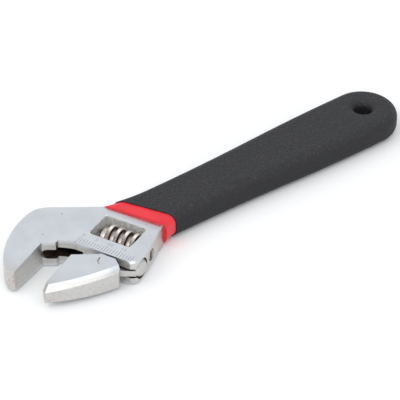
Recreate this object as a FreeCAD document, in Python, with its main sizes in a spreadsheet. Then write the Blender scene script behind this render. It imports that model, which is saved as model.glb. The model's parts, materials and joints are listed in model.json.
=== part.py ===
import FreeCAD, Part
import os
import Sketcher

# Adjustable wrench, 150 mm class, lying flat. Millimetres.
#
# Row frame: +X along the handle from the head to the hanging hole, +Z up, origin at the middle of
# the overall box on the surface that the wrench lies on.
# Head frame: origin at the root corner of the fixed jaw at mid thickness, x (called reach) along
# the jaws towards their tips, y (called slide) from the fixed jaw towards the movable jaw.
# Handle frame: origin where the handle's axis crosses the red band, x along the handle.

DIMENSIONS = [
    # placing the frames
    ("root_x", -63.9, "root corner of the fixed jaw in the row frame"),
    ("root_y", 5.8, "root corner of the fixed jaw in the row frame"),
    ("handle_x", -31.45, "handle frame's origin in the row frame"),
    ("mid_height", 5.0, "mid plane of the wrench above the surface"),
    ("opening", 11.4, "gap between the jaws in the stored pose"),
    # head of the body
    ("head_half", 4.7, "half thickness of the head"),
    ("jaw_length", 15.6, "length of the fixed jaw's contact face"),
    ("tip_reach", 16.0, "fixed jaw tip, outer corner"),
    ("tip_width", 2.3, "width of the fixed jaw's flat tip"),
    ("cheek_reach", 13.6, "where the tip's slanted corner meets the jaw's back"),
    ("cheek_slide", 5.382, "where the tip's slanted corner meets the jaw's back"),
    ("back_reach", 10.641, "end of the jaw's long back curve, behind the root"),
    ("back_slide", 12.915, "end of the jaw's long back curve"),
    ("back_radius", 35.0, "radius of the jaw's long back curve"),
    ("shoulder_reach", 17.476, "end of the shoulder curve"),
    ("shoulder_slide", 8.659, "end of the shoulder curve"),
    ("shoulder_radius", 8.6, "radius of the shoulder curve"),
    ("neck_top_reach", 25.287, "start of the upper neck curve"),
    ("neck_top_slide", 4.774, "start of the upper neck curve"),
    ("neck_in_reach", 32.032, "end of the upper neck curve, inside the grip"),
    ("neck_in_slide", 10.67, "end of the upper neck curve, inside the grip"),
    ("neck_radius", 14.0, "radius of the upper neck curve"),
    ("neck_low_radius", 9.0, "radius of the lower neck curve"),
    ("neck_out_reach", 32.956, "head pad's lower corner, inside the grip"),
    ("neck_out_slide", 28.804, "head pad's lower corner, inside the grip"),
    ("neck_low_reach", 27.774, "start of the lower neck curve"),
    ("neck_low_slide", 28.289, "start of the lower neck curve"),
    ("side_reach", 14.0, "corner on the head's open side"),
    ("side_slide", 31.0, "corner on the head's open side"),
    ("nose_reach", 7.5, "start of the head's nose curve"),
    ("nose_slide", 31.5, "open side of the head, where the rack comes out"),
    ("nose_radius", 2.6, "radius of the head's nose"),
    ("throat_reach", 5.5, "throat face, behind the jaw root"),
    ("throat_end", 29.5, "end of the throat face"),
    ("throat_start", 9.0, "start of the straight throat face"),
    ("throat_curve", 26.0, "radius between the hex corner's step and the throat"),
    ("step_slide", 3.9, "step behind the hex corner"),
    ("step_in_reach", 3.7, "step behind the hex corner, deep side"),
    ("step_out_reach", 2.2, "step behind the hex corner, shallow side"),
    ("outline_round", 1.4, "rounding of the forging's outer edges"),
    ("jaw_drop", 1.3, "how much each jaw face falls over the taper's reach"),
    ("taper_reach", 22.0, "reach of the jaw taper"),
    ("slope_start", 23.4, "start of the slope from the head down to the shank"),
    ("slope_end", 27.6, "end of the slope from the head down to the shank"),
    ("slope_far", 34.0, "beyond the head pad, inside the grip"),
    ("slope_fall", 0.3, "further fall of the faces from the slope's end to slope_far"),
    ("clear_half", 6.0, "beyond the faces"),
    # worm window
    ("window_near", 11.6, "edge of the window next to the scale"),
    ("window_far", 22.4, "edge of the window next to the handle"),
    ("window_left", 10.3, "end of the window on the fixed jaw's side"),
    ("window_right", 25.7, "end of the window on the open side"),
    ("window_corner", 1.2, "corner radius of the window"),
    # rack way
    ("rack_reach", 9.7, "axis of the rack's bore, behind the jaw root"),
    ("bore_radius", 3.38, "radius of the rack's bore"),
    ("bore_start", 1.3, "blind end of the bore, past the jaw face"),
    ("way_end", 34.0, "beyond the open side"),
    ("slot_half", 1.75, "half width of the slot, and its rounded end's radius"),
    ("slot_start", 1.45, "centre of the slot's rounded end"),
    # pin hole
    ("worm_reach", 17.0, "axis of the worm, behind the jaw root"),
    ("pin_hole_end", 6.0, "blind end of the pin's hole"),
    ("pin_hole_radius", 1.33, "hole for the pin's shank"),
    ("head_hole_radius", 2.05, "hole for the pin's head"),
    ("head_hole_start", 26.1, "shoulder that the pin's head stops on"),
    # movable jaw, slide measured from its own contact face
    ("slider_half", 4.65, "half thickness of the movable jaw"),
    ("slider_root", 0.3, "inner corner of the contact face"),
    ("slider_length", 16.5, "outer corner of the contact face"),
    ("slider_tip_reach", 17.7, "tip, outer corner"),
    ("slider_tip_width", 1.3, "tip, outer corner"),
    ("slider_back_radius", 70.0, "radius of the jaw's back"),
    ("slider_nose_reach", 1.0, "nose, end of the jaw's back"),
    ("slider_nose_slide", 16.7, "nose, end of the jaw's back"),
    ("slider_chin_reach", 2.2, "nose, lower corner"),
    ("slider_chin_slide", 16.4, "nose, lower corner"),
    ("slider_heel_slide", 13.3, "end of the face that runs along the throat"),
    ("slider_seat_reach", 4.75, "face that runs along the throat"),
    ("slider_seat_slide", 8.3, "start of the face that runs along the throat"),
    ("slider_drop", 1.38, "how much each side of the jaw falls over the taper's reach"),
    ("slider_bevel", 1.8, "wide bevel on the jaw's back"),
    ("web_half", 1.1, "half thickness of the web"),
    ("web_start", 1.7, "inner end of the web"),
    ("web_end", 19.6, "outer end of the web"),
    ("web_out_reach", 6.3, "web's edge at its outer end"),
    ("web_in_slide", 14.6, "where the web's edge leaves the jaw"),
    ("web_in_reach", 3.6, "where the web's edge leaves the jaw"),
    ("rack_radius", 3.3, "radius of the round rack"),
    ("rack_start", -0.5, "inner end of the rack"),
    ("rack_end", 20.3, "outer end of the rack"),
    ("rack_bevel", 0.5, "bevel on the rack's inner end"),
    ("rack_nose", 1.0, "bevel on the rack's outer end"),
    # thread and teeth
    ("lead", 3.0, "lead of the worm and pitch of the rack"),
    ("lead_angle", 6.06, "slant of the rack's teeth in degrees"),
    ("tooth_phase", 4.6, "a tooth space's middle, from the jaw's contact face"),
    ("space_half_out", 1.0, "half width of a tooth space at the rack's surface"),
    ("space_half_in", 0.68, "half width of a tooth space at its floor"),
    ("space_floor", 2.1, "floor of a tooth space, from the rack's axis"),
    ("space_mouth", 3.6, "beyond the rack's surface"),
    ("space_count", 7, "tooth spaces on the rack"),
    ("crest_radius", 5.0, "outer radius of the worm's thread"),
    ("crest_half", 0.5, "half width of the thread at its crest"),
    ("thread_root", 3.1, "inner radius of the thread's profile"),
    ("thread_root_half", 1.05, "half width of the thread at its root"),
    ("core_radius", 3.35, "radius of the worm between its threads"),
    ("hub_radius", 3.6, "radius of the worm's plain hub"),
    ("hub_start", 12.6, "free end of the hub"),
    ("thread_start", 14.3, "end of the hub, start of the thread"),
    ("worm_end", 25.4, "end of the worm on the open side"),
    ("helix_start", 13.0, "middle of the thread where its helix starts"),
    ("helix_height", 13.5, "height of the helix, cut back at both ends"),
    ("worm_bore_radius", 1.36, "bore of the worm"),
    ("spring_pocket_radius", 2.65, "pocket for the spring in the hub"),
    ("spring_pocket_end", 14.5, "floor of the spring's pocket"),
    ("outside", 40.0, "beyond the worm"),
    ("rim_bevel", 0.3, "bevel on the small turned parts"),
    # pin and spring
    ("pin_radius", 1.3, "radius of the pin's shank"),
    ("pin_start", 6.3, "end of the pin in the blind hole"),
    ("pin_head_radius", 2.0, "radius of the pin's head"),
    ("pin_head_start", 26.2, "shoulder of the pin's head"),
    ("pin_end", 30.2, "slotted end of the pin's head"),
    ("driver_slot_half", 0.35, "half width of the driver slot"),
    ("driver_slot_floor", 29.3, "floor of the driver slot"),
    ("spring_radius", 2.1, "mean radius of the spring"),
    ("spring_wire", 0.3, "radius of the spring's wire"),
    ("spring_start", 10.7, "first wire's middle"),
    ("spring_height", 3.4, "from the first wire's middle to the last"),
    ("spring_pitch", 0.85, "pitch of the spring"),
    # handle, outer surface of the black coat
    ("black_coat", 0.45, "thickness of the black coat"),
    ("red_coat", 0.85, "thickness of the red coat"),
    ("grip_half", 4.8, "half thickness of the handle"),
    ("grip_neck", 11.0, "end of the flare towards the head"),
    ("grip_neck_width", 9.5, "half width at the end of the flare"),
    ("side_middle", 55.05, "where the side's hollow curve meets its full curve"),
    ("side_middle_width", 10.8, "half width where the two side curves meet"),
    ("side_radius", 746.96, "radius of both side curves"),
    ("flare_radius", 59.5, "radius of the flare on the jaw's side"),
    ("flare_low_radius", 12.4, "radius of the flare on the open side"),
    ("end_centre", 99.1, "centre of the round end and of the hanging hole"),
    ("end_radius", 12.1, "radius of the round end"),
    ("grip_round", 3.6, "rounding of the handle's long edges"),
    ("hole_radius", 3.1, "radius of the hanging hole"),
    ("hole_round", 2.6, "rounding of the hanging hole's rims"),
    ("red_top_x", -5.9, "red coat's edge, jaw's side"),
    ("red_top_y", 11.5, "red coat's edge, jaw's side"),
    ("red_low_x", 5.0, "red coat's edge, open side"),
    ("red_low_y", 10.598, "red coat's edge, open side"),
    ("black_top_x", -0.9, "black coat's edge, jaw's side"),
    ("black_top_y", 10.702, "black coat's edge, jaw's side"),
    ("black_low_x", 9.9, "black coat's edge, open side"),
    ("black_low_y", 9.549, "black coat's edge, open side"),
    ("shank_start", 2.0, "steel shank's start, inside the head"),
]
HEAD_ANGLE = 202.5
SIZE = {name: value for name, value, note in DIMENSIONS}

document = FreeCAD.newDocument("adjustable_wrench")
sheet = document.addObject("Spreadsheet::Sheet", "Sheet")
for line, (name, value, note) in enumerate(DIMENSIONS, start=1):
    sheet.set(f"A{line}", name)
    sheet.set(f"B{line}", str(value))
    sheet.set(f"C{line}", note)
    sheet.setAlias(f"B{line}", name)
document.recompute()

HEAD = FreeCAD.Placement(
    FreeCAD.Vector(SIZE["root_x"], SIZE["root_y"], SIZE["mid_height"]),
    FreeCAD.Rotation(FreeCAD.Vector(0, 0, 1), HEAD_ANGLE),
)
HANDLE = FreeCAD.Placement(
    FreeCAD.Vector(SIZE["handle_x"], 0, SIZE["mid_height"]), FreeCAD.Rotation()
)


def amount(terms):
    """The value of a sum such as "end_centre + end_radius - black_coat"."""
    total = 0.0
    sign = 1.0
    for word in terms.split():
        if word in ("+", "-"):
            sign = 1.0 if word == "+" else -1.0
        else:
            total += sign * (SIZE[word] if word in SIZE else float(word))
            sign = 1.0
    return total


def formula(terms):
    """The same sum as an expression on the sheet's cells."""
    return " ".join("Sheet." + word if word in SIZE else word for word in terms.split())


def moved(x=0.0, y=0.0, z=0.0, turn=None):
    return FreeCAD.Placement(FreeCAD.Vector(x, y, z), turn or FreeCAD.Rotation())


def new_body(name, placement):
    body = document.addObject("PartDesign::Body", name)
    body.Label = name
    body.Placement = placement
    return body


def new_sketch(body, name, plane="XY_Plane", offset=None):
    sketch = body.newObject("Sketcher::SketchObject", name)
    support = [item for item in body.Origin.OriginFeatures if item.Role == plane][0]
    sketch.AttachmentSupport = [(support, "")]
    sketch.MapMode = "FlatFace"
    if offset is not None:
        sketch.AttachmentOffset = offset
    return sketch


def bind(sketch, kind, target, terms):
    """Add a dimension to the sketch and drive it from the sheet."""
    index = sketch.addConstraint(Sketcher.Constraint(kind, *target, amount(terms)))
    sketch.setExpression(f"Constraints[{index}]", formula(terms))


def arc_between(start, end, radius, turns_left):
    """The short arc from start to end, which bends left or right on its way."""
    chord = end - start
    sagitta_base = (radius**2 - (chord.Length / 2) ** 2) ** 0.5
    left = FreeCAD.Vector(-chord.y, chord.x, 0).normalize()
    side = 1.0 if turns_left else -1.0
    centre = (start + end) * 0.5 + left * (side * sagitta_base)
    middle = centre - left * (side * radius)
    return Part.Arc(start, middle, end)


def trace(sketch, corners):
    """Draw one closed outline. A corner is (x, y), or (x, y, "left" or "right", radius)
    when the edge that leaves it is an arc."""
    points = [FreeCAD.Vector(amount(c[0]), amount(c[1]), 0) for c in corners]
    ends = []
    for number, corner in enumerate(corners):
        start = points[number]
        end = points[(number + 1) % len(points)]
        if len(corner) == 2:
            index = sketch.addGeometry(Part.LineSegment(start, end))
            ends.append((index, 1, 2))
            continue
        left = corner[2] == "left"
        index = sketch.addGeometry(arc_between(start, end, amount(corner[3]), left))
        ends.append((index, 1, 2) if left else (index, 2, 1))
    for number, corner in enumerate(corners):
        index, first, last = ends[number]
        after, after_first, after_last = ends[(number + 1) % len(ends)]
        sketch.addConstraint(Sketcher.Constraint("Coincident", index, last, after, after_first))
        bind(sketch, "DistanceX", (index, first), corner[0])
        bind(sketch, "DistanceY", (index, first), corner[1])
        if len(corner) == 4:
            bind(sketch, "Radius", (index,), corner[3])


def draw(body, name, outlines, plane="XY_Plane", offset=None):
    sketch = new_sketch(body, name, plane, offset)
    for corners in outlines:
        trace(sketch, corners)
    document.recompute()
    return sketch


def draw_circle(body, name, x, y, radius, offset=None):
    sketch = new_sketch(body, name, offset=offset)
    centre = FreeCAD.Vector(amount(x), amount(y), 0)
    circle = Part.Circle(centre, FreeCAD.Vector(0, 0, 1), amount(radius))
    index = sketch.addGeometry(circle)
    bind(sketch, "DistanceX", (index, 3), x)
    bind(sketch, "DistanceY", (index, 3), y)
    bind(sketch, "Radius", (index,), radius)
    document.recompute()
    return sketch


def feature(body, kind, name, sketch):
    item = body.newObject("PartDesign::" + kind, name)
    item.Profile = sketch
    body.Tip = item
    return item


def pad(body, name, sketch, half):
    """A pad that is symmetric about the sketch's plane."""
    item = feature(body, "Pad", name, sketch)
    item.SideType = "Symmetric"
    item.setExpression("Length", "2 * (" + formula(half) + ")")
    document.recompute()
    return item


def cut_through(body, name, sketch):
    """A pocket right through the body, both ways from the sketch's plane."""
    before = body.Shape.Volume
    item = feature(body, "Pocket", name, sketch)
    item.Type = "ThroughAll"
    item.SideType = "Symmetric"
    document.recompute()
    assert body.Shape.Volume < before - 0.01, name + " cut nothing"
    return item


def cut_one_way(body, name, sketch, depth):
    """A pocket of a set depth towards the side that the sketch's plane faces."""
    before = body.Shape.Volume
    item = feature(body, "Pocket", name, sketch)
    item.Type = "Length"
    item.Reversed = True
    item.setExpression("Length", formula(depth))
    document.recompute()
    assert body.Shape.Volume < before - 0.01, name + " cut nothing"
    return item


def turn(body, kind, name, sketch):
    """A full turn about the sketch's vertical axis: a Revolution adds and a Groove cuts."""
    before = body.Shape.Volume if body.Tip else 0.0
    item = feature(body, kind, name, sketch)
    item.ReferenceAxis = (sketch, ["V_Axis"])
    item.Angle = 360
    document.recompute()
    assert abs(body.Shape.Volume - before) > 0.01, name + " changed nothing"
    return item


def coil(body, name, sketch, pitch, height):
    """A right-handed helix about the sketch's vertical axis."""
    item = feature(body, "AdditiveHelix", name, sketch)
    item.ReferenceAxis = (sketch, ["V_Axis"])
    item.Mode = "pitch-height-angle"
    item.LeftHanded = False
    item.setExpression("Pitch", formula(pitch))
    item.setExpression("Height", formula(height))
    document.recompute()
    return item


def edges_where(shape, test):
    """Names of the edges whose middle point passes the test."""
    found = []
    for number, edge in enumerate(shape.Edges, start=1):
        middle = edge.valueAt((edge.FirstParameter + edge.LastParameter) / 2)
        if test(edge, middle):
            found.append(f"Edge{number}")
    return found


def dress(body, kind, name, base, names, size):
    """A Fillet (Radius) or Chamfer (Size) on the named edges of a feature."""
    item = body.newObject("PartDesign::" + kind, name)
    item.Base = (base, names)
    item.setExpression("Radius" if kind == "Fillet" else "Size", formula(size))
    body.Tip = item
    document.recompute()
    return item


def on_faces(half):
    """A test for edges that lie on the two flat faces at plus and minus this height."""
    def test(edge, middle):
        heights = [abs(vertex.Z) for vertex in edge.Vertexes] + [abs(middle.z)]
        return all(abs(height - half) < 1e-4 for height in heights)
    return test


def handle_outline(inset, start):
    """Outline of one layer of the handle, its sides moved in by a sum such as black_coat.
    start holds the corners of the edge that faces the head, open side first."""
    out = " - " + inset if inset else ""
    low = " + " + inset.replace("-", "+") if inset else ""
    return start + [
        ("grip_neck", "grip_neck_width" + out, "left", "side_radius"),
        ("side_middle", "side_middle_width" + out, "right", "side_radius"),
        ("end_centre", "end_radius" + out, "right", "end_radius" + out),
        ("end_centre + end_radius" + out, "0", "right", "end_radius" + out),
        ("end_centre", "- end_radius" + low, "right", "side_radius"),
        ("side_middle", "- side_middle_width" + low, "left", "side_radius"),
    ]


def make_wrench_body():
    body = new_body("wrench_body", HEAD)
    to_handle = HEAD.inverse().multiply(HANDLE)
    coats = "black_coat - red_coat"
    low_side = "- grip_neck_width + black_coat + red_coat"
    start = [
        ("grip_neck", low_side),
        ("shank_start", low_side),
        ("shank_start", "grip_neck_width - " + coats),
    ]
    outline = [handle_outline(coats, start)]
    shank = pad(body, "Shank", draw(body, "ShankSketch", outline, offset=to_handle),
                "grip_half - " + coats)
    names = edges_where(shank.Shape, on_faces(amount("grip_half - " + coats)))
    dress(body, "Fillet", "ShankRound", shank, names, "grip_round - " + coats)

    head_outline = [
        ("0", "0"),
        ("- step_out_reach", "step_slide"),
        ("- step_in_reach", "step_slide", "right", "throat_curve"),
        ("- throat_reach", "throat_start"),
        ("- throat_reach", "throat_end", "left", "nose_radius"),
        ("- nose_reach", "nose_slide"),
        ("- side_reach", "side_slide"),
        ("- neck_low_reach", "neck_low_slide", "right", "neck_low_radius"),
        ("- neck_out_reach", "neck_out_slide"),
        ("- neck_in_reach", "neck_in_slide", "right", "neck_radius"),
        ("- neck_top_reach", "neck_top_slide"),
        ("- shoulder_reach", "- shoulder_slide", "left", "shoulder_radius"),
        ("- back_reach", "- back_slide", "left", "back_radius"),
        ("cheek_reach", "- cheek_slide"),
        ("tip_reach", "- tip_width"),
        ("jaw_length", "0"),
    ]
    head = pad(body, "Head", draw(body, "HeadSketch", [head_outline]), "head_half")
    names = edges_where(head.Shape, is_outer_edge)
    dress(body, "Fillet", "OutlineRound", head, names, "outline_round")
    cuts = taper_outlines("head_half", "jaw_drop") + neck_outlines("grip_half - " + coats)
    cut_through(body, "FaceSlopes", draw(body, "SlopeSketch", cuts, "XZ_Plane"))

    window = [
        ("- window_far", "window_left"),
        ("- window_near", "window_left"),
        ("- window_near", "window_right"),
        ("- window_far", "window_right"),
    ]
    opening = cut_through(body, "Window", draw(body, "WindowSketch", [window]))
    names = edges_where(opening.Shape, is_window_corner)
    dress(body, "Fillet", "WindowCorners", opening, names, "window_corner")

    rack_axis = moved(x=-SIZE["rack_reach"])
    bore = [
        ("0", "- bore_start"),
        ("bore_radius", "- bore_start"),
        ("bore_radius", "way_end"),
        ("0", "way_end"),
    ]
    turn(body, "Groove", "RackBore", draw(body, "BoreSketch", [bore], offset=rack_axis))
    slot = [
        ("slot_start", "- slot_half"),
        ("way_end", "- slot_half"),
        ("way_end", "slot_half"),
        ("slot_start", "slot_half", "left", "slot_half"),
        ("slot_start - slot_half", "0", "left", "slot_half"),
    ]
    slot_base = moved(z=-SIZE["rack_reach"])
    slot_sketch = draw(body, "SlotSketch", [slot], "YZ_Plane", slot_base)
    cut_one_way(body, "RackSlot", slot_sketch, "rack_reach")

    pin_hole = [
        ("0", "pin_hole_end"),
        ("pin_hole_radius", "pin_hole_end"),
        ("pin_hole_radius", "head_hole_start"),
        ("head_hole_radius", "head_hole_start"),
        ("head_hole_radius", "way_end"),
        ("0", "way_end"),
    ]
    worm_axis = moved(x=-SIZE["worm_reach"])
    turn(body, "Groove", "PinHole", draw(body, "PinHoleSketch", [pin_hole], offset=worm_axis))

    hole_sketch = draw_circle(body, "HoleSketch", "end_centre", "0",
                              "hole_radius + black_coat + red_coat", to_handle)
    hole = cut_through(body, "HangingHole", hole_sketch)
    names = edges_where(hole.Shape, is_hole_rim(to_handle, "hole_radius + black_coat + red_coat"))
    dress(body, "Fillet", "HoleRims", hole, names, "hole_round - " + coats)
    return body


def taper_outlines(half, drop):
    """Two wedges that thin the jaws towards their tips, above and below."""
    return [
        [("0", half), ("taper_reach", half + " - " + drop), ("taper_reach", "clear_half")],
        [("0", "- " + half), ("taper_reach", "- clear_half"),
         ("taper_reach", "- " + half + " + " + drop)],
    ]


def neck_outlines(shank_half):
    """Two cuts that slope the head's faces down to the shank, above and below."""
    below = "- " + shank_half.replace("-", "+")
    return [
        [("- slope_start", "head_half"), ("- slope_far", "clear_half"),
         ("- slope_far", shank_half + " - slope_fall"), ("- slope_end", shank_half)],
        [("- slope_start", "- head_half"), ("- slope_end", below),
         ("- slope_far", below + " + slope_fall"), ("- slope_far", "- clear_half")],
    ]


def is_outer_edge(edge, middle):
    """True for the head pad's top and bottom edges along the forging's outer outline."""
    jaw_side = middle.y < -0.5
    upper_neck = middle.x < -SIZE["shoulder_reach"] and middle.y < 9.5
    open_side = middle.x < -SIZE["throat_reach"] and middle.y > SIZE["neck_low_slide"] - 1
    return on_faces(SIZE["head_half"])(edge, middle) and (jaw_side or upper_neck or open_side)


def is_window_corner(edge, middle):
    """True for the window's four upright corners."""
    upright = abs(edge.Vertexes[0].Z - edge.Vertexes[-1].Z) > 5
    across = min(abs(middle.x + SIZE["window_near"]), abs(middle.x + SIZE["window_far"]))
    along = min(abs(middle.y - SIZE["window_left"]), abs(middle.y - SIZE["window_right"]))
    return upright and across < 1e-3 and along < 1e-3


def is_hole_rim(to_handle, radius):
    """A test for the round edges at both ends of the hanging hole."""
    centre = to_handle.multVec(FreeCAD.Vector(SIZE["end_centre"], 0, 0))

    def test(edge, middle):
        round_edge = isinstance(edge.Curve, Part.Circle)
        if not round_edge or abs(edge.Curve.Radius - amount(radius)) > 1e-4:
            return False
        return (FreeCAD.Vector(middle.x, middle.y, 0) - centre).Length < amount(radius) + 1e-3
    return test


def make_movable_jaw():
    body = new_body("movable_jaw", HEAD.multiply(moved(y=SIZE["opening"])))
    outline = [
        ("slider_root", "0"),
        ("slider_length", "0"),
        ("slider_tip_reach", "slider_tip_width", "left", "slider_back_radius"),
        ("- slider_nose_reach", "slider_nose_slide"),
        ("- slider_chin_reach", "slider_chin_slide"),
        ("- slider_seat_reach", "slider_heel_slide"),
        ("- slider_seat_reach", "slider_seat_slide"),
    ]
    pad(body, "Jaw", draw(body, "JawSketch", [outline]), "slider_half")
    tapers = taper_outlines("slider_half", "slider_drop")
    slopes = cut_through(body, "JawTaper", draw(body, "TaperSketch", tapers, "XZ_Plane"))
    names = edges_where(slopes.Shape, is_back_edge)
    bevel = dress(body, "Chamfer", "BackBevel", slopes, names, "slider_bevel")

    web = [
        ("- rack_reach", "web_start"),
        ("- web_in_reach", "web_start"),
        ("- web_in_reach", "web_in_slide"),
        ("- web_out_reach", "web_end"),
        ("- rack_reach", "web_end"),
    ]
    pad(body, "Web", draw(body, "WebSketch", [web]), "web_half")
    rack = [
        ("0", "rack_start"),
        ("rack_radius - rack_bevel", "rack_start"),
        ("rack_radius", "rack_start + rack_bevel"),
        ("rack_radius", "rack_end - rack_nose"),
        ("rack_radius - rack_nose", "rack_end"),
        ("0", "rack_end"),
    ]
    rack_axis = moved(x=-SIZE["rack_reach"])
    turn(body, "Revolution", "Rack", draw(body, "RackSketch", [rack], offset=rack_axis))

    space = [
        ("- space_floor", "- space_half_in"),
        ("- space_floor", "space_half_in"),
        ("- space_mouth", "space_half_out"),
        ("- space_mouth", "- space_half_out"),
    ]
    slant = FreeCAD.Rotation(FreeCAD.Vector(1, 0, 0), SIZE["lead_angle"])
    first = moved(-SIZE["rack_reach"], SIZE["tooth_phase"] - SIZE["lead"], 0, slant)
    tooth = cut_through(body, "ToothSpace", draw(body, "ToothSketch", [space], offset=first))
    before = body.Shape.Volume
    pattern = body.newObject("PartDesign::LinearPattern", "RackTeeth")
    pattern.Originals = [tooth]
    pattern.Direction = (body.Origin.OriginFeatures[1], [""])
    pattern.Occurrences = int(SIZE["space_count"])
    pattern.setExpression("Length", "Sheet.lead * (Sheet.space_count - 1)")
    body.Tip = pattern
    document.recompute()
    assert body.Shape.Volume < before - 1, "the rack has no teeth"
    return body


def is_back_edge(edge, middle):
    """True for the movable jaw's top and bottom edges along its back and tip."""
    upright = abs(edge.Vertexes[0].Z - edge.Vertexes[-1].Z) > 5
    crosses = abs(edge.Vertexes[0].X - edge.Vertexes[-1].X) < 1e-3
    on_back = middle.y > 0.1 and middle.x > -SIZE["slider_nose_reach"] - 0.1
    inner = middle.x < SIZE["slider_root"] and middle.y < SIZE["slider_heel_slide"]
    return on_back and not (upright or crosses or inner)


def make_worm():
    body = new_body("adjusting_worm", HEAD.multiply(moved(x=-SIZE["worm_reach"])))
    core = [
        ("0", "hub_start"),
        ("hub_radius - rim_bevel", "hub_start"),
        ("hub_radius", "hub_start + rim_bevel"),
        ("hub_radius", "thread_start"),
        ("core_radius", "thread_start"),
        ("core_radius", "worm_end"),
        ("0", "worm_end"),
    ]
    turn(body, "Revolution", "Core", draw(body, "CoreSketch", [core]))
    profile = [
        ("thread_root", "helix_start - thread_root_half"),
        ("crest_radius", "helix_start - crest_half"),
        ("crest_radius", "helix_start + crest_half"),
        ("thread_root", "helix_start + thread_root_half"),
    ]
    coil(body, "Thread", draw(body, "ThreadSketch", [profile]), "lead", "helix_height")
    free_end = [
        ("hub_radius - rim_bevel", "0"),
        ("outside", "0"),
        ("outside", "thread_start"),
        ("hub_radius", "thread_start"),
        ("hub_radius", "hub_start + rim_bevel"),
        ("hub_radius - rim_bevel", "hub_start"),
    ]
    far_end = [
        ("0", "worm_end"),
        ("outside", "worm_end"),
        ("outside", "outside"),
        ("0", "outside"),
    ]
    ends = draw(body, "EndSketch", [free_end, far_end])
    turn(body, "Groove", "ThreadEnds", ends)
    bore = [
        ("0", "0"),
        ("spring_pocket_radius", "0"),
        ("spring_pocket_radius", "spring_pocket_end"),
        ("worm_bore_radius", "spring_pocket_end"),
        ("worm_bore_radius", "outside"),
        ("0", "outside"),
    ]
    turn(body, "Groove", "WormBore", draw(body, "WormBoreSketch", [bore]))
    return body


def make_pin():
    body = new_body("worm_pin", HEAD.multiply(moved(x=-SIZE["worm_reach"])))
    outline = [
        ("0", "pin_start"),
        ("pin_radius - rim_bevel", "pin_start"),
        ("pin_radius", "pin_start + rim_bevel"),
        ("pin_radius", "pin_head_start"),
        ("pin_head_radius", "pin_head_start"),
        ("pin_head_radius", "pin_end - rim_bevel"),
        ("pin_head_radius - rim_bevel", "pin_end"),
        ("0", "pin_end"),
    ]
    turn(body, "Revolution", "Pin", draw(body, "PinSketch", [outline]))
    slot = [
        ("- driver_slot_half", "driver_slot_floor"),
        ("driver_slot_half", "driver_slot_floor"),
        ("driver_slot_half", "way_end"),
        ("- driver_slot_half", "way_end"),
    ]
    cut_through(body, "DriverSlot", draw(body, "DriverSketch", [slot]))
    return body


def make_spring():
    body = new_body("worm_spring", HEAD.multiply(moved(x=-SIZE["worm_reach"])))
    wire = draw_circle(body, "WireSketch", "spring_radius", "spring_start", "spring_wire")
    coil(body, "Coil", wire, "spring_pitch", "spring_height")
    return body


def make_layer(name, inset, start, lip):
    """A solid bounded by one outer surface of the handle's coating."""
    body = new_body(name, HANDLE)
    out = " - " + inset if inset else ""
    grow = " + " + inset if inset else ""
    sketch = draw(body, name + "_outline", [handle_outline(inset, start)])
    layer = pad(body, name + "_pad", sketch, "grip_half" + out)
    half = amount("grip_half" + out)

    def is_long_edge(edge, middle):
        faces_head = all(vertex.X < amount(lip) for vertex in edge.Vertexes)
        return on_faces(half)(edge, middle) and not faces_head

    names = edges_where(layer.Shape, is_long_edge)
    dress(body, "Fillet", name + "_round", layer, names, "grip_round" + out)
    circle = draw_circle(body, name + "_hole_sketch", "end_centre", "0", "hole_radius" + grow)
    hole = cut_through(body, name + "_hole", circle)
    names = edges_where(hole.Shape, is_hole_rim(moved(), "hole_radius" + grow))
    dress(body, "Fillet", name + "_rims", hole, names, "hole_round" + out)
    return body


def cut(name, base, tool):
    item = document.addObject("Part::Cut", name)
    item.Label = name
    item.Base = base
    item.Tool = tool
    document.recompute()
    return item


def make_parts():
    wrench_body = make_wrench_body()
    black = make_layer("black_surface", "", [
        ("grip_neck", "- grip_neck_width", "left", "flare_low_radius"),
        ("black_low_x", "- black_low_y"),
        ("black_top_x", "black_top_y", "left", "flare_radius"),
    ], "grip_neck")
    red = make_layer("red_surface", "black_coat", [
        ("grip_neck", "- grip_neck_width + black_coat", "left", "flare_low_radius"),
        ("red_low_x", "- red_low_y"),
        ("red_top_x", "red_top_y", "left", "flare_radius"),
    ], "grip_neck")
    grip_black = cut("grip_black_dip", black, red)
    grip_red = cut("grip_red_dip", red, wrench_body)
    return [wrench_body, make_movable_jaw(), make_worm(), make_pin(), make_spring(),
            grip_red, grip_black]


parts = make_parts()
for item in document.Objects:
    if "Invalid" in item.State or "Error" in item.State:
        raise RuntimeError(item.Name + " failed: " + str(item.State))
for part in parts:
    if part.Shape.isNull() or not part.Shape.isValid():
        raise RuntimeError(part.Label + " has no valid shape")
os.makedirs("parts", exist_ok=True)
for part in parts:
    shape = part.Shape
    shape.exportStep(os.path.join("parts", part.Label + ".step"))
    print(part.Label, round(shape.Volume, 1), len(shape.Solids), shape.BoundBox)
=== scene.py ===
import bpy
import json
from math import cos, pi, radians, sin
from mathutils import Matrix, Vector


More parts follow.
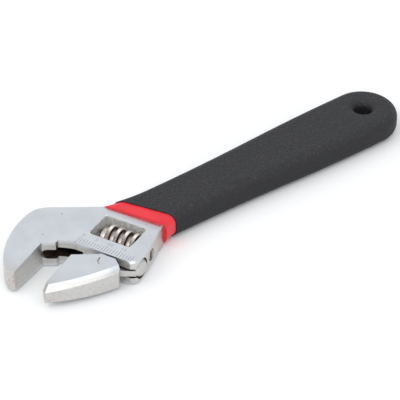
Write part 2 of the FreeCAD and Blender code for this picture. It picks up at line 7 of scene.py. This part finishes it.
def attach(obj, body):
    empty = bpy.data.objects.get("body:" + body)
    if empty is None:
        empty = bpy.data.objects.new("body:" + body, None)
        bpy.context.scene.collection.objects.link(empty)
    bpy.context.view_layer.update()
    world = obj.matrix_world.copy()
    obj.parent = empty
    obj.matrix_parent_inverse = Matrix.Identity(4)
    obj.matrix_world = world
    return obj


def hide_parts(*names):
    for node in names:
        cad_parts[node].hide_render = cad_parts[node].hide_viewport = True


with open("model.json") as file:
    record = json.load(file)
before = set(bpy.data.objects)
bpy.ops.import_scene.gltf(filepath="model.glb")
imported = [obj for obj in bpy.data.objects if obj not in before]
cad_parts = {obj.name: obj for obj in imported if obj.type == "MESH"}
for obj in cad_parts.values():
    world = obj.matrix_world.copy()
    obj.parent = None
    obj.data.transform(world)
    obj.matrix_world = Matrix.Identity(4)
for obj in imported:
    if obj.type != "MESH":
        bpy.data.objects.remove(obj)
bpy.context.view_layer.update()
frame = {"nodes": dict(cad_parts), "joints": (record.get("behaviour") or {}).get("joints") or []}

# An adjustable wrench lying flat. The head frame of the part's source: reach runs along the jaws
# to their tips, slide from the fixed jaw to the movable one, both in millimetres from the root of
# the fixed jaw's face at mid thickness.
MM = 0.001
JOINTS = {joint["name"]: joint for joint in frame["joints"]}
SLIDE = Vector(JOINTS["jaw_slide"]["axis"]).normalized()
REACH = SLIDE.cross(Vector((0, 0, 1)))
RACK_REACH = -9.7     # axis of the rack and its bore
WORM_REACH = -17.0    # axis of the worm
WORM_MIDDLE = 18.0    # middle of the worm and of its window, along slide
WORM_CENTRE = Vector(JOINTS["worm_turn"]["pos_m"])
ROOT = WORM_CENTRE - MM * (WORM_REACH * REACH + WORM_MIDDLE * SLIDE)
HEAD_HALF = 4.7       # half thickness of the head
JAW_HALF = 4.65       # half thickness of the movable jaw
OPENING = 11.4        # gap between the jaws at rest
WAY_FROM = -1.5       # just behind the bore's blind end
WAY_RADIUS = 3.5      # just outside the bore's wall
SLOT_HALF = 1.8       # just outside the slot's walls
THROAT_HALF = 4.5     # half of the slot's depth, from the rack's axis to the throat
WINDOW_HALF_REACH = 5.5
WINDOW_HALF_SLIDE = 7.8


def at_head(reach, slide, height=0.0):
    """The place in the row frame of a point given in the head frame."""
    return ROOT + MM * (reach * REACH + slide * SLIDE + Vector((0, 0, height)))


# ---------------------------------------------------------------- camera

LENS = 162.45
AIM = Vector((-0.00698, -0.00289, 0.0053))
AZIMUTH = radians(-37.72)
ELEVATION = radians(37.27)
ROLL = radians(-0.13)
DISTANCE = 0.59727


def make_camera():
    """A long lens, in front of the wrench, to its left and above, level but for a slight roll."""
    back = Vector((sin(AZIMUTH) * cos(ELEVATION), -cos(AZIMUTH) * cos(ELEVATION), sin(ELEVATION)))
    level = Vector((cos(AZIMUTH), sin(AZIMUTH), 0))
    upright = back.cross(level)
    right = cos(ROLL) * level + sin(ROLL) * upright
    up = cos(ROLL) * upright - sin(ROLL) * level
    data = bpy.data.cameras.new("camera")
    data.lens = LENS
    data.sensor_width = 36
    data.clip_start = 0.01
    data.clip_end = 20
    camera = bpy.data.objects.new("camera", data)
    bpy.context.scene.collection.objects.link(camera)
    place = AIM + DISTANCE * back
    turn = Matrix((right, up, back)).transposed().to_4x4()
    camera.matrix_world = Matrix.Translation(place) @ turn
    bpy.context.scene.camera = camera


# ---------------------------------------------------------------- materials

def linear(code):
    """An sRGB hex colour as linear RGBA."""
    channels = [int(code[i:i + 2], 16) / 255 for i in (1, 3, 5)]
    return tuple(c / 12.92 if c <= 0.04045 else ((c + 0.055) / 1.055) ** 2.4
                 for c in channels) + (1.0,)


def add(material, kind, settings=None, links=None, output=0):
    """Adds a shader node, sets its properties and sockets, links outputs into its sockets and
    gives back one of its outputs, or the node itself if output is None."""
    node = material.node_tree.nodes.new("ShaderNode" + kind)
    for name, value in (settings or {}).items():
        if name == "stops":
            points = node.color_ramp.elements
            while len(points) < len(value):
                points.new(1.0)
            for point, (position, code) in zip(points, value):
                point.position = position
                point.color = linear(code)
        elif isinstance(name, int) or name in node.inputs:
            node.inputs[name].default_value = value
        else:
            setattr(node, name, value)
    for name, source in (links or {}).items():
        material.node_tree.links.new(source, node.inputs[name])
    return node if output is None else node.outputs[output]


def per_mm(size):
    """A texture's scale for a feature of this size in millimetres."""
    return 1 / (size * MM)


def new_material(name, surface, settings=None):
    """A material whose Principled shader takes its sockets from surface(material, place)."""
    material = bpy.data.materials.new(name)
    material.use_nodes = True
    material.node_tree.nodes.clear()
    place = add(material, "TexCoord", output="Object")
    shader = add(material, "BsdfPrincipled", settings, surface(material, place))
    add(material, "OutputMaterial", links={"Surface": shader}, output=None)
    return material


# Sockets of the Mix node when it mixes colours.
MIX, UNDER, OVER, MIXED = 0, 6, 7, 2


def height_from_middle(m, place):
    """The signed height above the wrench's mid plane, and its distance from that plane."""
    up = add(m, "SeparateXYZ", links={"Vector": place}, output="Z")
    lift = add(m, "Math", {"operation": "SUBTRACT", 1: ROOT.z}, {0: up})
    return lift, add(m, "Math", {"operation": "ABSOLUTE"}, {0: lift})


def forging_surface(tip, cavities=None):
    """Satin chrome over a drop forging: the flat faces are polished even before plating, the
    sides keep the trimmed flash's soft mottle and are painted darker as shade, and the plating
    has a few pits and has worn through to its copper layer at the jaw's tip. cavities, if given,
    adds the colour and roughness of what is cut into the forging, painted shade and painted light
    among them."""

    def surface(m, place):
        waves = add(m, "TexNoise", {"Scale": per_mm(7.0), "Detail": 2.0}, {"Vector": place})
        mottle = add(m, "TexNoise", {"Scale": per_mm(1.1), "Detail": 4.0, "Roughness": 0.6},
                     {"Vector": place})
        grain = add(m, "TexNoise", {"Scale": per_mm(0.35), "Detail": 2.0}, {"Vector": place})
        face = add(m, "ValToRGB", {"stops": [(0.3, "#D4D8DD"), (0.7, "#DFE2E6")]},
                   {"Fac": waves})
        # Painted shade: the sides' colour is a darker copy of the faces' steel, laid over the
        # trimmed flash's real mottle.
        shaded_side = add(m, "ValToRGB", {"stops": [(0.3, "#BFBDBA"), (0.7, "#D1D0CE")]},
                   {"Fac": mottle})
        lift, depth = height_from_middle(m, place)
        flat = add(m, "MapRange", {"From Min": 3.3 * MM, "From Max": 4.2 * MM}, {"Value": depth})
        steel = add(m, "Mix", {"data_type": "RGBA"}, {MIX: flat, UNDER: shaded_side, OVER: face}, MIXED)

        cells = add(m, "TexVoronoi", {"Scale": per_mm(2.2)}, {"Vector": place}, "Distance")
        dots = add(m, "MapRange", {"From Min": 0.06, "From Max": 0.14, "To Min": 0.85,
                                   "To Max": 0.0}, {"Value": cells})
        where = add(m, "TexNoise", {"Scale": per_mm(2.7), "Detail": 1.0}, {"Vector": place})
        sparse = add(m, "MapRange", {"From Min": 0.56, "From Max": 0.61}, {"Value": where})
        pits = add(m, "Math", {"operation": "MULTIPLY"}, {0: dots, 1: sparse})
        pitted = add(m, "Mix", {"data_type": "RGBA", OVER: linear("#51463F")},
                     {MIX: pits, UNDER: steel}, MIXED)

        away = add(m, "VectorMath", {"operation": "DISTANCE", 1: tip}, {0: place}, "Value")
        near = add(m, "MapRange", {"From Min": 1.5 * MM, "From Max": 5.5 * MM, "To Min": 0.6,
                                   "To Max": 0.0}, {"Value": away})
        patches = add(m, "MapRange", {"From Min": 0.52, "From Max": 0.6}, {"Value": mottle})
        worn = add(m, "Math", {"operation": "MULTIPLY"}, {0: near, 1: patches})
        colour = add(m, "Mix", {"data_type": "RGBA", OVER: linear("#B08A76")},
                     {MIX: worn, UNDER: pitted}, MIXED)
        rough = add(m, "MapRange", {"From Min": 0.3, "From Max": 0.7, "To Min": 0.3,
                                    "To Max": 0.44}, {"Value": mottle})
        if cavities:
            colour, rough = cavities(m, place, lift, depth, mottle, colour, rough)

        normal = add(m, "Bump", {"Distance": 0.1 * MM}, {"Height": waves})
        normal = add(m, "Bump", {"Distance": 0.025 * MM}, {"Height": mottle, "Normal": normal})
        normal = add(m, "Bump", {"Distance": 0.006 * MM}, {"Height": grain, "Normal": normal})
        normal = add(m, "Bump", {"Distance": 0.06 * MM, "invert": True},
                     {"Height": pits, "Normal": normal})
        return {"Base Color": colour, "Roughness": rough, "Normal": normal}

    return surface


def way_and_window(m, place, lift, depth, mottle, colour, rough):
    """The rack's bore and slot, rough as bare steel and painted dark brown as shade in the
    recess, and the worm window's milled walls, duller than the faces and painted lighter as light
    on them.
    Each is found by its place in the head frame."""
    rack = at_head(RACK_REACH, 0)
    offset = add(m, "VectorMath", {"operation": "SUBTRACT", 1: rack}, {0: place})
    across = add(m, "VectorMath", {"operation": "DOT_PRODUCT", 1: REACH}, {0: offset}, "Value")
    along = add(m, "VectorMath", {"operation": "DOT_PRODUCT", 1: SLIDE}, {0: offset}, "Value")

    flank = add(m, "CombineXYZ", links={"X": across, "Y": lift})
    radius = add(m, "VectorMath", {"operation": "LENGTH"}, {0: flank}, "Value")
    bore = add(m, "Math", {"operation": "LESS_THAN", 1: WAY_RADIUS * MM}, {0: radius})
    thin = add(m, "Math", {"operation": "LESS_THAN", 1: SLOT_HALF * MM}, {0: depth})
    throat = add(m, "Math", {"operation": "COMPARE", 1: THROAT_HALF * MM, 2: THROAT_HALF * MM},
                 {0: across})
    slot = add(m, "Math", {"operation": "MULTIPLY"}, {0: throat, 1: thin})
    cut = add(m, "Math", {"operation": "MAXIMUM"}, {0: bore, 1: slot})
    within = add(m, "Math", {"operation": "GREATER_THAN", 1: WAY_FROM * MM}, {0: along})
    way = add(m, "Math", {"operation": "MULTIPLY"}, {0: cut, 1: within})
    # Painted shade: inside the bore and slot the colour is dark brown, where shade falls in the
    # recess.
    recess_painted_shade = add(m, "ValToRGB", {"stops": [(0.3, "#3A2F29"), (0.7, "#6A5A50")]}, {"Fac": mottle})
    colour = add(m, "Mix", {"data_type": "RGBA"}, {MIX: way, UNDER: colour, OVER: recess_painted_shade}, MIXED)
    rough = add(m, "Math", {"operation": "MULTIPLY_ADD", 1: 0.3}, {0: way, 2: rough})

    middle = (WORM_REACH - RACK_REACH) * MM
    in_reach = add(m, "Math", {"operation": "COMPARE", 1: middle, 2: WINDOW_HALF_REACH * MM},
                   {0: across})
    in_slide = add(m, "Math", {"operation": "COMPARE", 1: WORM_MIDDLE * MM,
                               2: WINDOW_HALF_SLIDE * MM}, {0: along})
    window = add(m, "Math", {"operation": "MULTIPLY"}, {0: in_reach, 1: in_slide})
    # Painted light: the window's walls are coloured lighter than the plating, as if lit.
    wall_painted_light = add(m, "ValToRGB", {"stops": [(0.35, "#D9D8D6"), (0.6, "#F6F5F3")]},
                 {"Fac": mottle})
    colour = add(m, "Mix", {"data_type": "RGBA"}, {MIX: window, UNDER: colour, OVER: wall_painted_light},
                 MIXED)
    rough = add(m, "Math", {"operation": "MULTIPLY_ADD", 1: 0.35}, {0: window, 2: rough})
    return colour, rough


def turned_surface(m, place):
    """Turned and knurled steel under a film of oil: bright crests and groove floors, painted
    shade dark on the flanks between them, and faint tool rings, drawn coarser than they are."""
    offset = add(m, "VectorMath", {"operation": "SUBTRACT", 1: WORM_CENTRE}, {0: place})
    along = add(m, "VectorMath", {"operation": "DOT_PRODUCT", 1: SLIDE}, {0: offset}, "Value")
    axial = add(m, "VectorMath", {"operation": "SCALE", 0: SLIDE}, {"Scale": along})
    radial = add(m, "VectorMath", {"operation": "SUBTRACT"}, {0: offset, 1: axial})
    radius = add(m, "VectorMath", {"operation": "LENGTH"}, {0: radial}, "Value")
    rise = add(m, "MapRange", {"From Min": CORE_RADIUS * MM, "From Max": CREST_RADIUS * MM},
               {"Value": radius})
    mottle = add(m, "TexNoise", {"Scale": per_mm(0.8), "Detail": 3.0}, {"Vector": place})
    # Painted shade: the flanks between crest and groove floor are coloured dark, where the crests
    # shade them.
    tone = add(m, "ValToRGB", {"stops": [(0.0, "#D6CEC8"), (0.2, "#D6CEC8"), (0.34, "#4A3E38"),
                                         (0.7, "#4A3E38"), (0.88, "#CFC9C4")]}, {"Fac": rise})
    film = add(m, "ValToRGB", {"stops": [(0.3, "#A09890"), (0.7, "#FFFFFF")]}, {"Fac": mottle})
    colour = add(m, "Mix", {"data_type": "RGBA", MIX: 0.35, "blend_type": "MULTIPLY"},
                 {UNDER: tone, OVER: film}, MIXED)
    rough = add(m, "MapRange", {"From Min": 0.3, "From Max": 0.7, "To Min": 0.26,
                                "To Max": 0.38}, {"Value": mottle})
    rings = add(m, "TexNoise", {"noise_dimensions": "1D", "Scale": per_mm(0.12)}, {"W": along})
    normal = add(m, "Bump", {"Distance": 0.006 * MM}, {"Height": rings})
    return {"Base Color": colour, "Roughness": rough, "Normal": normal}


def drawn_surface(low, high):
    """Drawn steel, smooth, with the slight unevenness of handled wire."""

    def surface(m, place):
        mottle = add(m, "TexNoise", {"Scale": per_mm(0.7), "Detail": 3.0}, {"Vector": place})
        colour = add(m, "ValToRGB", {"stops": [(0.3, low), (0.7, high)]}, {"Fac": mottle})
        rough = add(m, "MapRange", {"From Min": 0.3, "From Max": 0.7, "To Min": 0.28,
                                    "To Max": 0.4}, {"Value": mottle})
        normal = add(m, "Bump", {"Distance": 0.01 * MM}, {"Height": mottle})
        return {"Base Color": colour, "Roughness": rough, "Normal": normal}

    return surface


def red_surface(m, place):
    """Plastisol of the first dip: smooth, slightly glossy, with the faint waves of a coat that
    ran before it set."""
    waves = add(m, "TexNoise", {"Scale": per_mm(5.0), "Detail": 1.0}, {"Vector": place})
    grain = add(m, "TexNoise", {"Scale": per_mm(0.5), "Detail": 2.0}, {"Vector": place})
    colour = add(m, "ValToRGB", {"stops": [(0.3, "#D81C2B"), (0.7, "#E22735")]}, {"Fac": waves})
    rough = add(m, "MapRange", {"From Min": 0.3, "From Max": 0.7, "To Min": 0.34,
                                "To Max": 0.42}, {"Value": grain})
    normal = add(m, "Bump", {"Distance": 0.08 * MM}, {"Height": waves})
    normal = add(m, "Bump", {"Distance": 0.008 * MM}, {"Height": grain, "Normal": normal})
    return {"Base Color": colour, "Roughness": rough, "Normal": normal}


def black_surface(m, place):
    """Plastisol of the second dip, cured with a foamed skin: matte, with a leathery grain drawn
    coarser than its real 0.3 mm so that it shows, and painted darker along the sides as shade."""
    grain = add(m, "TexNoise", {"Scale": per_mm(0.9), "Detail": 4.0, "Roughness": 0.7},
                {"Vector": place})
    pebbles = add(m, "TexVoronoi", {"Scale": per_mm(0.9), "feature": "SMOOTH_F1",
                                    "Smoothness": 0.5}, {"Vector": place}, "Distance")
    waves = add(m, "TexNoise", {"Scale": per_mm(9.0), "Detail": 2.0}, {"Vector": place})
    colour = add(m, "ValToRGB", {"stops": [(0.36, "#141416"), (0.5, "#202023"),
                                           (0.66, "#36353B")]}, {"Fac": grain})
    # Painted shade: the sides are darkened towards near black, away from the top face.
    depth = height_from_middle(m, place)[1]
    shaded_side = add(m, "MapRange", {"From Min": 1.5 * MM, "From Max": 4.4 * MM, "To Min": 0.75,
                               "To Max": 0.0}, {"Value": depth})
    colour = add(m, "Mix", {"data_type": "RGBA", OVER: linear("#0B0B0C")},
                 {MIX: shaded_side, UNDER: colour}, MIXED)
    rough = add(m, "MapRange", {"From Min": 0.3, "From Max": 0.7, "To Min": 0.6,
                                "To Max": 0.75}, {"Value": grain})
    normal = add(m, "Bump", {"Distance": 0.15 * MM}, {"Height": waves})
    normal = add(m, "Bump", {"Distance": 0.2 * MM}, {"Height": pebbles, "Normal": normal})
    normal = add(m, "Bump", {"Distance": 0.16 * MM}, {"Height": grain, "Normal": normal})
    return {"Base Color": colour, "Roughness": rough, "Normal": normal}


def etched_surface(low, high):
    """Etched lines in the plating: matte, with the etch's uneven tone."""

    def surface(m, place):
        tone = add(m, "TexNoise", {"Scale": per_mm(0.4), "Detail": 2.0}, {"Vector": place})
        colour = add(m, "ValToRGB", {"stops": [(0.3, low), (0.7, high)]}, {"Fac": tone})
        normal = add(m, "Bump", {"Distance": 0.01 * MM}, {"Height": tone})
        return {"Base Color": colour, "Normal": normal}

    return surface


# ---------------------------------------------------------------- modelling

def clear_selection():
    """Leave edit mode and deselect everything."""
    if bpy.context.object and bpy.context.object.mode != "OBJECT":
        bpy.ops.object.mode_set(mode="OBJECT")
    bpy.ops.object.select_all(action="DESELECT")


def named(name):
    """Name the active object and its mesh."""
    bpy.context.object.name = name
    bpy.context.object.data.name = name
    return bpy.context.object


def only(piece):
    """Select just this piece and make it active."""
    clear_selection()
    piece.select_set(True)
    bpy.context.view_layer.objects.active = piece


def select_where(piece, kind, test):
    """In edit mode, select just the vertices or the edges whose middle passes the test."""
    only(piece)
    bpy.ops.object.mode_set(mode="EDIT")
    bpy.ops.mesh.select_mode(type={"vertices": "VERT", "edges": "EDGE"}[kind])
    bpy.ops.mesh.select_all(action="DESELECT")
    bpy.ops.object.mode_set(mode="OBJECT")
    points = piece.data.vertices
    for item in getattr(piece.data, kind):
        if kind == "vertices":
            middle = item.co
        else:
            middle = (points[item.vertices[0]].co + points[item.vertices[1]].co) / 2
        item.select = bool(test(middle))
    bpy.ops.object.mode_set(mode="EDIT")


def apply(piece, kind, **settings):
    """Add a modifier, set it and apply it."""
    only(piece)
    modifier = piece.modifiers.new(kind.lower(), kind)
    for name, value in settings.items():
        setattr(modifier, name, value)
    bpy.ops.object.modifier_apply(modifier=modifier.name)


def put(piece, matrix):
    """Move the piece into the row frame, with its place in its mesh."""
    only(piece)
    piece.matrix_world = matrix @ piece.matrix_world
    bpy.ops.object.transform_apply(location=True, rotation=True, scale=True)


def copied(piece, name):
    """A copy of the piece with its own mesh."""
    twin = piece.copy()
    twin.data = piece.data.copy()
    twin.name = name
    bpy.context.scene.collection.objects.link(twin)
    return twin


def discard(pieces):
    clear_selection()
    for piece in pieces:
        piece.select_set(True)
    bpy.ops.object.delete()


def joined(pieces, name):
    """The pieces as one object."""
    clear_selection()
    for piece in pieces:
        piece.select_set(True)
    bpy.context.view_layer.objects.active = pieces[0]
    bpy.ops.object.join()
    return named(name)


def dress(piece, material):
    """Give the piece this material and no other."""
    piece.data.materials.clear()
    piece.data.materials.append(material)


# Worm: a plain hub, a core and a right-handed thread whose crest is knurled.
# Radii, and places along slide.
CREST_RADIUS = 5.0
CORE_RADIUS = 3.35
HUB_RADIUS = 3.6
BORE_RADIUS = 1.36
POCKET_RADIUS = 2.65
LEAD = 3.0
THREAD_FIRST = 13.0   # middle of the tooth where the thread starts, cut off at THREAD_FROM
THREAD_FROM = 14.3
THREAD_TURNS = 4.5
TOOTH_MIDDLE = 4.05   # radius of the middle of the tooth's section
TOOTH_SIZE = 1.9
CREST_SHARE = 0.62    # width of the tooth at its crest, of its size
TOOTH_BEVEL = 0.2
WORM_FROM = 12.6
WORM_TO = 25.4
POCKET_TO = 14.5
KNURLS = 44
KNURL_DEPTH = 0.32
KNURL_FROM = 4.55     # radius where the knurl starts
HUB_ROUND = 0.3
END_CHAMFER = 0.15


def make_thread():
    """The thread, about Z, in a frame with X along reach and Z along slide."""
    bpy.ops.mesh.primitive_plane_add(size=TOOTH_SIZE * MM, rotation=(pi / 2, 0, 0),
                                     location=(TOOTH_MIDDLE * MM, 0, THREAD_FIRST * MM))
    thread = named("worm_thread")
    bpy.ops.object.transform_apply(location=True, rotation=True, scale=True)
    select_where(thread, "vertices", lambda co: co.x > TOOTH_MIDDLE * MM)
    middle = (CREST_RADIUS * MM, 0, THREAD_FIRST * MM)
    bpy.ops.transform.resize(value=(1, 1, CREST_SHARE), center_override=middle)
    bpy.ops.mesh.bevel(offset=TOOTH_BEVEL * MM, segments=2, affect="VERTICES")
    bpy.ops.mesh.select_all(action="SELECT")
    bpy.ops.mesh.delete(type="ONLY_FACE")
    steps = round(THREAD_TURNS * 2 * KNURLS) + 1
    apply(thread, "SCREW", axis="Z", angle=2 * pi * THREAD_TURNS,
          screw_offset=THREAD_TURNS * LEAD * MM, steps=steps, render_steps=steps,
          use_merge_vertices=False, use_smooth_shade=False)
    half_step = pi / KNURLS

    def in_groove(co):
        """Every other step of the crest, between two knurls."""
        step = round(Vector((co.x, co.y)).angle_signed(Vector((1, 0))) / half_step)
        return co.xy.length > KNURL_FROM * MM and step % 2 == 1

    select_where(thread, "vertices", in_groove)
    shrink = 1 - KNURL_DEPTH / CREST_RADIUS
    bpy.ops.transform.resize(value=(shrink, shrink, 1), center_override=(0, 0, 0))
    bpy.ops.mesh.select_all(action="SELECT")
    bpy.ops.mesh.fill_holes(sides=0)
    for height, normal in ((THREAD_FROM, (0, 0, -1)), (WORM_TO, (0, 0, 1))):
        bpy.ops.mesh.select_all(action="SELECT")
        bpy.ops.mesh.bisect(plane_co=(0, 0, height * MM), plane_no=normal, use_fill=True,
                            clear_outer=True)
    bpy.ops.mesh.select_all(action="SELECT")
    bpy.ops.mesh.normals_make_consistent(inside=False)
    return thread


def make_core():
    """The hub, core, bore and spring pocket, turned as a chain of rings from the bore's mouth."""
    rings = [
        (BORE_RADIUS, POCKET_TO), (POCKET_RADIUS, POCKET_TO), (POCKET_RADIUS, WORM_FROM),
        (HUB_RADIUS - HUB_ROUND, WORM_FROM),
        (HUB_RADIUS - 0.3 * HUB_ROUND, WORM_FROM + 0.3 * HUB_ROUND),
        (HUB_RADIUS, WORM_FROM + HUB_ROUND), (HUB_RADIUS, THREAD_FROM - 0.1),
        (HUB_RADIUS - 0.1, THREAD_FROM), (CORE_RADIUS, THREAD_FROM + 0.1),
        (CORE_RADIUS, WORM_TO - END_CHAMFER), (CORE_RADIUS - END_CHAMFER, WORM_TO),
        (BORE_RADIUS, WORM_TO), (BORE_RADIUS, POCKET_TO),
    ]
    radius, height = rings[0]
    bpy.ops.mesh.primitive_circle_add(vertices=96, radius=radius * MM,
                                      location=(0, 0, height * MM))
    core = named("worm_core")
    bpy.ops.object.transform_apply(location=True, rotation=True, scale=True)
    bpy.ops.object.mode_set(mode="EDIT")
    bpy.ops.mesh.select_all(action="SELECT")
    for next_radius, next_height in rings[1:]:
        step = (0, 0, (next_height - height) * MM)
        bpy.ops.mesh.extrude_region_move(TRANSFORM_OT_translate={"value": step})
        grow = next_radius / radius
        bpy.ops.transform.resize(value=(grow, grow, 1), center_override=(0, 0, next_height * MM))
        radius, height = next_radius, next_height
    bpy.ops.mesh.select_all(action="SELECT")
    bpy.ops.mesh.remove_doubles(threshold=1e-6)
    bpy.ops.mesh.normals_make_consistent(inside=False)
    return core


def make_worm(material):
    """The thumb worm: thread and core made one, on the worm's axis."""
    clear_selection()
    thread = make_thread()
    clear_selection()
    core = make_core()
    clear_selection()
    apply(core, "BOOLEAN", operation="UNION", object=thread, solver="EXACT")
    discard([thread])
    only(core)
    worm = named("knurled_worm")
    bpy.ops.object.shade_smooth_by_angle(angle=radians(40))
    axes = Matrix((REACH, SLIDE.cross(REACH), SLIDE)).transposed().to_4x4()
    put(worm, Matrix.Translation(at_head(WORM_REACH, 0)) @ axes)
    dress(worm, material)
    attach(worm, "worm")
    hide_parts("adjusting_worm")


# Scale: etched lines every millimetre from the point that the index mark meets when the jaws
# are shut, with a figure at every fifth line.
SCALE_ZERO = 9.3
SCALE_LINES = 20
LINE_NEAR = -5.95
LINE_SHORT = -8.3
LINE_LONG = -8.9
LINE_WIDTH = 0.24
LINES_PER_FIGURE = 5
FIGURE_REACH = -9.9
FIGURE_SHIFT = 0.3    # the figures stand a little past their lines
FIGURE_SIZE = 2.15
MARK_DEPTH = 0.06
MARK_PROUD = 0.012    # just enough to show over the plating
INDEX_AT = SCALE_ZERO + OPENING


def make_line(length, width, name):
    """An etched line along X about the origin, with rounded ends."""
    clear_selection()
    bpy.ops.mesh.primitive_cube_add(size=1)
    line = named(name)
    line.scale = (length * MM, width * MM, MARK_DEPTH * MM)
    bpy.ops.object.transform_apply(location=True, rotation=True, scale=True)
    select_where(line, "edges", lambda co: abs(co.z) < 1e-7 and abs(co.x) > 0.4 * length * MM)
    bpy.ops.mesh.bevel(offset=0.45 * width * MM, segments=3, affect="EDGES")
    bpy.ops.object.mode_set(mode="OBJECT")
    return line


def lay(mark, middle, along, face):
    """Sink a mark into a face at this half thickness, about a (reach, slide) point, with its X
    along a direction."""
    up = Vector((0, 0, 1))
    axes = Matrix((along, up.cross(along), up)).transposed().to_4x4()
    place = at_head(*middle, face + MARK_PROUD - MARK_DEPTH / 2)
    put(mark, Matrix.Translation(place) @ axes)
    return mark


def make_figure(words, slide):
    """A figure of the scale, read with the worm window above it."""
    clear_selection()
    bpy.ops.object.text_add()
    figure = bpy.context.object
    figure.data.body = words
    figure.data.align_x = "CENTER"
    figure.data.align_y = "CENTER"
    figure.data.size = FIGURE_SIZE * MM
    figure.data.extrude = MARK_DEPTH / 2 * MM
    figure.data.resolution_u = 4
    bpy.ops.object.convert(target="MESH")
    only(figure)
    bpy.ops.object.mode_set(mode="EDIT")
    bpy.ops.mesh.select_all(action="SELECT")
    bpy.ops.mesh.remove_doubles(threshold=1e-7)
    bpy.ops.object.mode_set(mode="OBJECT")
    return lay(figure, (FIGURE_REACH, slide), SLIDE, HEAD_HALF)


def make_scale(material):
    """The millimetre scale beside the window."""
    ends = {"short": LINE_SHORT, "long": LINE_LONG}
    models = {size: make_line(LINE_NEAR - end, LINE_WIDTH, "scale_line_" + size)
              for size, end in ends.items()}
    marks = []
    for number in range(SCALE_LINES + 1):
        slide = SCALE_ZERO + number
        size = "short" if number % LINES_PER_FIGURE else "long"
        line = copied(models[size], f"scale_line_{number}")
        marks.append(lay(line, ((LINE_NEAR + ends[size]) / 2, slide), -REACH, HEAD_HALF))
        if size == "long" and number < SCALE_LINES:
            marks.append(make_figure(str(number), slide + FIGURE_SHIFT))
    discard(models.values())
    scale = joined(marks, "jaw_scale")
    dress(scale, material)
    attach(scale, "body")


def make_stroke(start, end, width, name):
    """A stroke between two (reach, slide) points on the movable jaw."""
    step = Vector(end) - Vector(start)
    middle = (Vector(start) + Vector(end)) / 2
    along = (REACH * step.x + SLIDE * step.y).normalized()
    return lay(make_line(step.length, width, name), middle, along, JAW_HALF)


def make_index(material):
    """The slanted index mark on the movable jaw, opposite the scale."""
    strokes = [
        make_stroke((-3.1, INDEX_AT - 0.7), (-0.9, INDEX_AT - 0.2), 0.4, "index_stroke_1"),
        make_stroke((-0.8, INDEX_AT - 0.1), (-0.1, INDEX_AT + 1.0), 0.22, "index_stroke_2"),
    ]
    index = joined(strokes, "jaw_index")
    dress(index, material)
    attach(index, "jaw")


# ---------------------------------------------------------------- stage

FLOOR_SIZE = 6.0
FLOOR_DROP = 0.00003


def add_light(name, place, aim, size, power):
    """A white softbox of this size in metres, aimed at a point; power in watts."""
    data = bpy.data.lights.new(name, "AREA")
    data.shape = "RECTANGLE"
    data.size = size[0]
    data.size_y = size[1]
    data.energy = power
    light = bpy.data.objects.new(name, data)
    bpy.context.scene.collection.objects.link(light)
    light.location = place
    towards = Vector(aim) - Vector(place)
    light.rotation_mode = "QUATERNION"
    light.rotation_quaternion = towards.to_track_quat("-Z", "Y")


def card_surface(m, place):
    """Matte white card, very slightly uneven."""
    tone = add(m, "TexNoise", {"Scale": per_mm(40.0), "Detail": 1.0}, {"Vector": place})
    colour = add(m, "ValToRGB", {"stops": [(0.3, "#F2F2F2"), (0.7, "#F4F4F4")]}, {"Fac": tone})
    return {"Base Color": colour}


def make_stage():
    """A white card floor under an even pale sky, a large softbox from the upper left and one that
    lights the movable jaw's bevel."""
    clear_selection()
    bpy.ops.mesh.primitive_plane_add(size=FLOOR_SIZE, location=(0, 0, -FLOOR_DROP))
    floor = named("floor")
    dress(floor, new_material("matte_white_card", card_surface, {"Roughness": 0.9}))
    world = bpy.data.worlds.new("studio")
    bpy.context.scene.world = world
    world.use_nodes = True
    sky = world.node_tree.nodes["Background"]
    sky.inputs["Color"].default_value = linear("#F4F6F8")
    sky.inputs["Strength"].default_value = 0.95
    add_light("key_softbox", (-0.9, 0.1, 1.0), (-0.02, 0, 0), (1.2, 1.2), 5.0)
    add_light("edge_softbox", (-0.38, -0.62, 0.86), (-0.04, 0, 0), (1.1, 0.8), 3.5)
    bpy.context.scene.view_settings.view_transform = "Standard"


METAL = {"Metallic": 1.0}
ETCHED = {"Metallic": 0.4, "Roughness": 0.6}
FIXED_TIP = at_head(16.0, -1.2)
MOVABLE_TIP = at_head(17.0, OPENING + 1.0)

FINISHES = {
    "wrench_body": ("satin_chrome_forging_body", forging_surface(FIXED_TIP, way_and_window),
                    METAL),
    "movable_jaw": ("satin_chrome_forging_jaw", forging_surface(MOVABLE_TIP), METAL),
    "worm_pin": ("drawn_steel_pin", drawn_surface("#8A8784", "#A9A6A2"), METAL),
    "worm_spring": ("spring_steel_wire", drawn_surface("#5E5A58", "#7C7874"), METAL),
    "grip_red_dip": ("dipped_red_plastisol", red_surface, {"IOR": 1.52}),
    "grip_black_dip": ("dipped_black_plastisol", black_surface, {"IOR": 1.5}),
}

make_camera()
for node, finish in FINISHES.items():
    dress(frame["nodes"][node], new_material(*finish))
make_worm(new_material("oiled_turned_steel", turned_surface, METAL))
make_scale(new_material("etched_scale_lines", etched_surface("#A39EAA", "#B6B1BA"), ETCHED))
make_index(new_material("etched_index_mark", etched_surface("#6A5245", "#8A6E5E"), ETCHED))
make_stage()
